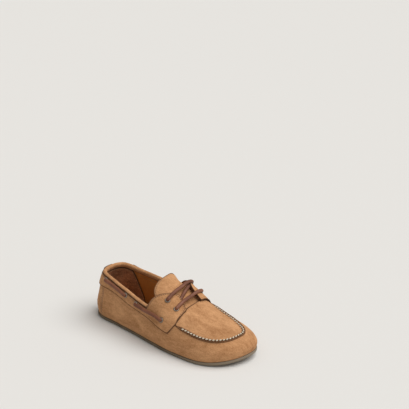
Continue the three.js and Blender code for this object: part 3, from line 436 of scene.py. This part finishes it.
def refined(node, name, finish, body="shoe", levels=2, sharp=45, bevel=0.0004, puff=0.0, moves=None,
            reach=0.0035):
    bm, rimPoints = smoothed(mergedCopy(node), levels, sharp, bevel)
    bmesh.ops.recalc_face_normals(bm, faces=bm.faces)
    bm.normal_update()
    if moves or puff:
        shift = {v: v.normal * puff + (moves(v.co, v.normal) if moves else Vector()) for v in bm.verts}
        for v, d in shift.items():
            v.co += d
    ob = newObject(name, bm, finish, body)
    paintRim(ob, rimPoints, reach)
    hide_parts(node)
    return ob


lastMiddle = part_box("sock_lining")


def awayFromFoot(p):
    # outwards from the middle of the foot
    spine = Vector((p.x, 0.006, 0.03))
    away = (p - spine)
    away.x = 0.0 if abs(p.x) < 0.08 else (p.x - math.copysign(0.08, p.x)) * 1.5
    return away.normalized()


def layerMove(p, normal):
    return awayFromFoot(p) * handMade(p)


upper = {
    "vamp_wall": ("vampWall", "suede"), "apron": ("apronPlug", "suede"),
    "lateral_quarter": ("outerSaddle", "saddleSuede"), "medial_quarter": ("innerSaddle", "saddleSuede"),
    "back_strip": ("backStrip", "saddleSuede"),
}
made = {}
for node, (name, finish) in upper.items():
    made[node] = refined(node, name, finish, moves=layerMove, reach=0.0022 if finish == "suede" else 0.0035)


def ease(low, high, value):
    t = min(1.0, max(0.0, (value - low) / (high - low)))
    return t * t * (3 - 2 * t)


made["tongue"] = refined("tongue", "tongueTop", "suede", "tongue")
made["tongue_lining"] = refined("tongue_lining", "tongueBack", "tan_leather", "tongue")
print("upper refined")


def collarPucker(p, normal):
    along = math.atan2(p.y - 0.003, p.x + 0.03)
    return normal * (noise.noise(Vector((along * 34, p.z * 60, 0))) * 0.0003 - 0.0003)


made["collar_binding"] = refined("collar_binding", "collarRoll", "suede", moves=collarPucker, sharp=70)
for node, name, finish, slot in (("heel_lining", "heelLining", "suede_lining", "suede_lining"),
                                 ("lateral_quarter_lining", "outerLining", "tan_leather", "tan_leather"),
                                 ("medial_quarter_lining", "innerLining", "tan_leather", "tan_leather"),
                                 ("sock_lining", "sockLining", "sock", "tan_leather")):
    made[node] = refined(node, name, finish, bevel=0.00025)
made["outsole"] = refined("outsole", "outSole", "sole_rubber", sharp=30, bevel=0.0005)
made["lace"] = refined("lace", "rawhideLace", "rawhide", sharp=100, bevel=0, puff=0.001)
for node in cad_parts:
    if node.startswith("eyelet"):
        made[node] = refined(node, node.replace("eyelet", "ring"), "eyelet_metal", sharp=120,
                             bevel=0, puff=0.00012)
for node, finish in (("midsole_filler", "foam"), ("heel_cushion", "foam"), ("collar_foam", "foam"),
                     ("insole_board", "board"), ("heel_counter", "suede_lining")):
    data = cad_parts[node].data
    data.materials.clear()
    data.materials.append(finishes[finish])
print("linings, sole, lace and eyelets refined")


# ---- sewing ----
def outerRims(node, levels=1, sharp=45, side=1):
    # the edges of the outward face, or of the one to the foot, each as a closed loop of (point, inward direction)
    bm, _ = smoothed(mergedCopy(node), levels, sharp)
    bm.normal_update()
    borders = set(sharpEdges(bm, sharp))
    left, regions = set(bm.faces), []
    while left:
        seed = left.pop()
        region, queue = {seed}, [seed]
        while queue:
            face = queue.pop()
            for e in face.edges:
                if e in borders:
                    continue
                for other in e.link_faces:
                    if other in left:
                        left.discard(other)
                        region.add(other)
                        queue.append(other)
        regions.append(region)

    def outwards(region):
        return side * sum(f.calc_area() * f.normal.dot(awayFromFoot(f.calc_center_median())) for f in region)

    face = max(regions, key=outwards)
    edges = {e for f in face for e in f.edges if e in borders}
    loops = []
    while edges:
        e = edges.pop()
        chain, tip = [e], e.verts[1]
        while True:
            following = next((n for n in tip.link_edges if n in edges), None)
            if not following:
                break
            edges.discard(following)
            chain.append(following)
            tip = following.other_vert(tip)
        points = []
        for e in chain:
            mid = (e.verts[0].co + e.verts[1].co) / 2
            inner = next(f for f in e.link_faces if f in face)
            run = (e.verts[1].co - e.verts[0].co).normalized()
            inward = inner.calc_center_median() - mid
            inward -= run * inward.dot(run)
            points.append((mid.copy(), inward.normalized()))
        loops.append(points)
    bm.free()
    return sorted(loops, key=len, reverse=True)


def evenly(points, pitch):
    # the same line with a step of one stitch
    total = [0.0]
    for a, b in zip(points, points[1:]):
        total.append(total[-1] + (b - a).length)
    count = max(1, round(total[-1] / pitch))
    out, k = [], 0
    for i in range(count + 1):
        want = total[-1] * i / count
        while k < len(points) - 2 and total[k + 1] < want:
            k += 1
        step = total[k + 1] - total[k]
        out.append(points[k].lerp(points[k + 1], (want - total[k]) / step if step else 0))
    return out


def dash(bm, place, along, up, length, width, slant=0.0):
    # one stitch: a short round bar that dips into the leather at both ends
    across = up.cross(along).normalized()
    along = (Matrix.Rotation(slant, 3, up) @ along).normalized()
    across = (Matrix.Rotation(slant, 3, up) @ across).normalized()
    shape = bmesh.ops.create_uvsphere(bm, u_segments=6, v_segments=5, radius=1)
    turn = Matrix((across * width, up * width * 0.8, along * length / 2)).transposed().to_4x4()
    bmesh.ops.transform(bm, matrix=Matrix.Translation(place) @ turn, verts=shape["verts"])


def surfaceOf(*nodes):
    bm = bmesh.new()
    for node in nodes:
        bm.from_mesh(made[node].data)
    tree = BVHTree.FromBMesh(bm)
    bm.free()
    return tree


def sewAlong(bm, tree, run, stitch, side=1):
    # stitches laid on a surface, one step apart
    places = evenly(run, stitch["pitch"])
    for a, b in zip(places, places[1:]):
        mid = (a + b) / 2
        hit, normal, _, _ = tree.find_nearest(mid)
        if side * normal.dot(awayFromFoot(hit)) < 0:
            hit, normal, _, _ = tree.find_nearest(mid + awayFromFoot(mid) * 0.002 * side)
        dash(bm, hit + normal * stitch["proud"], (b - a).normalized(), normal, stitch["length"], stitch["width"])


def edgeRow(bm, node, keep, inset, stitch, smooth=2, side=1):
    # a row of stitches beside the edge of a piece, where keep says so
    loop = outerRims(node, side=side)[0]
    count = len(loop)
    tree = surfaceOf(node)
    line = []
    for i, (p, _) in enumerate(loop):
        inward = sum((loop[(i + k) % count][1] for k in range(-smooth, smooth + 1)), Vector()).normalized()
        line.append((p, p + inward * inset))
    runs, run = [], []
    start = next((i for i in range(count) if not keep(line[i][0])), 0)
    for k in range(count + 1):
        p, q = line[(start + k) % count]
        if keep(p) and k < count:
            run.append(q)
        elif run:
            runs.append(run)
            run = []
    for run in runs:
        if len(run) < 3:
            continue
        sewAlong(bm, tree, run, stitch, side)


fineStitch = {"pitch": 0.003, "length": 0.0023, "width": 0.00048, "proud": 0.0001}
saddleRows = {
    "lateral_quarter": [(lambda p: True, 0.0022), (lambda p: p.x > -0.012, 0.0044)],
    "medial_quarter": [(lambda p: True, 0.0022), (lambda p: p.x > -0.012, 0.0044)],
    "back_strip": [(lambda p: True, 0.002)],
}
bm = bmesh.new()
for node, rows in saddleRows.items():
    for keep, inset in rows:
        edgeRow(bm, node, keep, inset, fineStitch)
newObject("saddleStitches", bm, "tonalThread")

heelPatch = {"lowX": -0.1085, "topX": -0.1045, "low": 0.0065, "top": 0.056, "row": 0.0026}
patchEdge = {"pitch": 0.002, "length": 0.0032, "width": 0.0005, "proud": -0.0001}
bm = bmesh.new()
wall = surfaceOf("vamp_wall")
for side in (-1, 1):
    for inset, stitch in ((0.0, patchEdge), (heelPatch["row"], fineStitch)):
        line = []
        for i in range(13):
            x = heelPatch["lowX"] + (heelPatch["topX"] - heelPatch["lowX"]) * i / 12 - inset
            z = heelPatch["low"] + (heelPatch["top"] - heelPatch["low"]) * i / 12
            hit = wall.ray_cast(Vector((x, side * 0.2, z)), Vector((0, -side, 0)))[0]
            if hit:
                line.append(hit)
        sewAlong(bm, wall, line, stitch)
newObject("heelPatchSeams", bm, "tonalThread")
bm = bmesh.new()
edgeRow(bm, "heel_lining", lambda p: True, 0.002, fineStitch, side=-1)
for node in ("lateral_quarter_lining", "medial_quarter_lining"):
    edgeRow(bm, node, lambda p: p.z > 0.03, 0.006, fineStitch, side=-1)
newObject("liningStitches", bm, "liningThread")
bm = bmesh.new()
edgeRow(bm, "tongue", lambda p: p.x < 0.03, 0.0024, fineStitch)
newObject("tongueStitches", bm, "tonalThread", "tongue")
print("tonal rows sewn")

moccasinSeam = {"pitch": 0.0047, "length": 0.0035, "width": 0.00108, "slant": 0.35, "proud": 0.0009, "over": 0.0036}


def seamLine():
    # the middle of the thread bead, in order round the toe
    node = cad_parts["moc_seam_thread"]
    low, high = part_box("moc_seam_thread")
    pivot = Vector((low.x - 0.012, (low.y + high.y) / 2, 0))
    bins = {}
    for v in node.data.vertices:
        angle = math.atan2(v.co.y - pivot.y, (v.co.x - pivot.x) * 1.0)
        bins.setdefault(round(angle * 180 / math.pi / 3), []).append(v.co.copy())
    line = [sum(found, Vector()) / len(found) for _, found in sorted(bins.items()) if len(found) > 3]
    for _ in range(3):
        line = [line[0]] + [(a + b * 2 + c) / 4 for a, b, c in zip(line, line[1:], line[2:])] + [line[-1]]
    return line


bm = bmesh.new()
places = evenly(seamLine(), moccasinSeam["pitch"])
for a, b in zip(places, places[1:]):
    mid = (a + b) / 2
    cross = ease(0.008, 0.03, mid.y)      # outside the outer lip, then over both and down inside the inner one
    up = (Vector((0, 0, 1)) + awayFromFoot(mid) * (0.6 - 1.2 * cross)).normalized()
    level = Vector((-(b - a).y, (b - a).x, 0)).normalized()
    mid += level * (moccasinSeam["over"] * cross)
    dash(bm, mid + up * moccasinSeam["proud"], (b - a).normalized(), up, moccasinSeam["length"], moccasinSeam["width"], moccasinSeam["slant"])
seam = newObject("seamStitches", bm, "thread")
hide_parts("moc_seam_thread")
print("moccasin seam sewn")
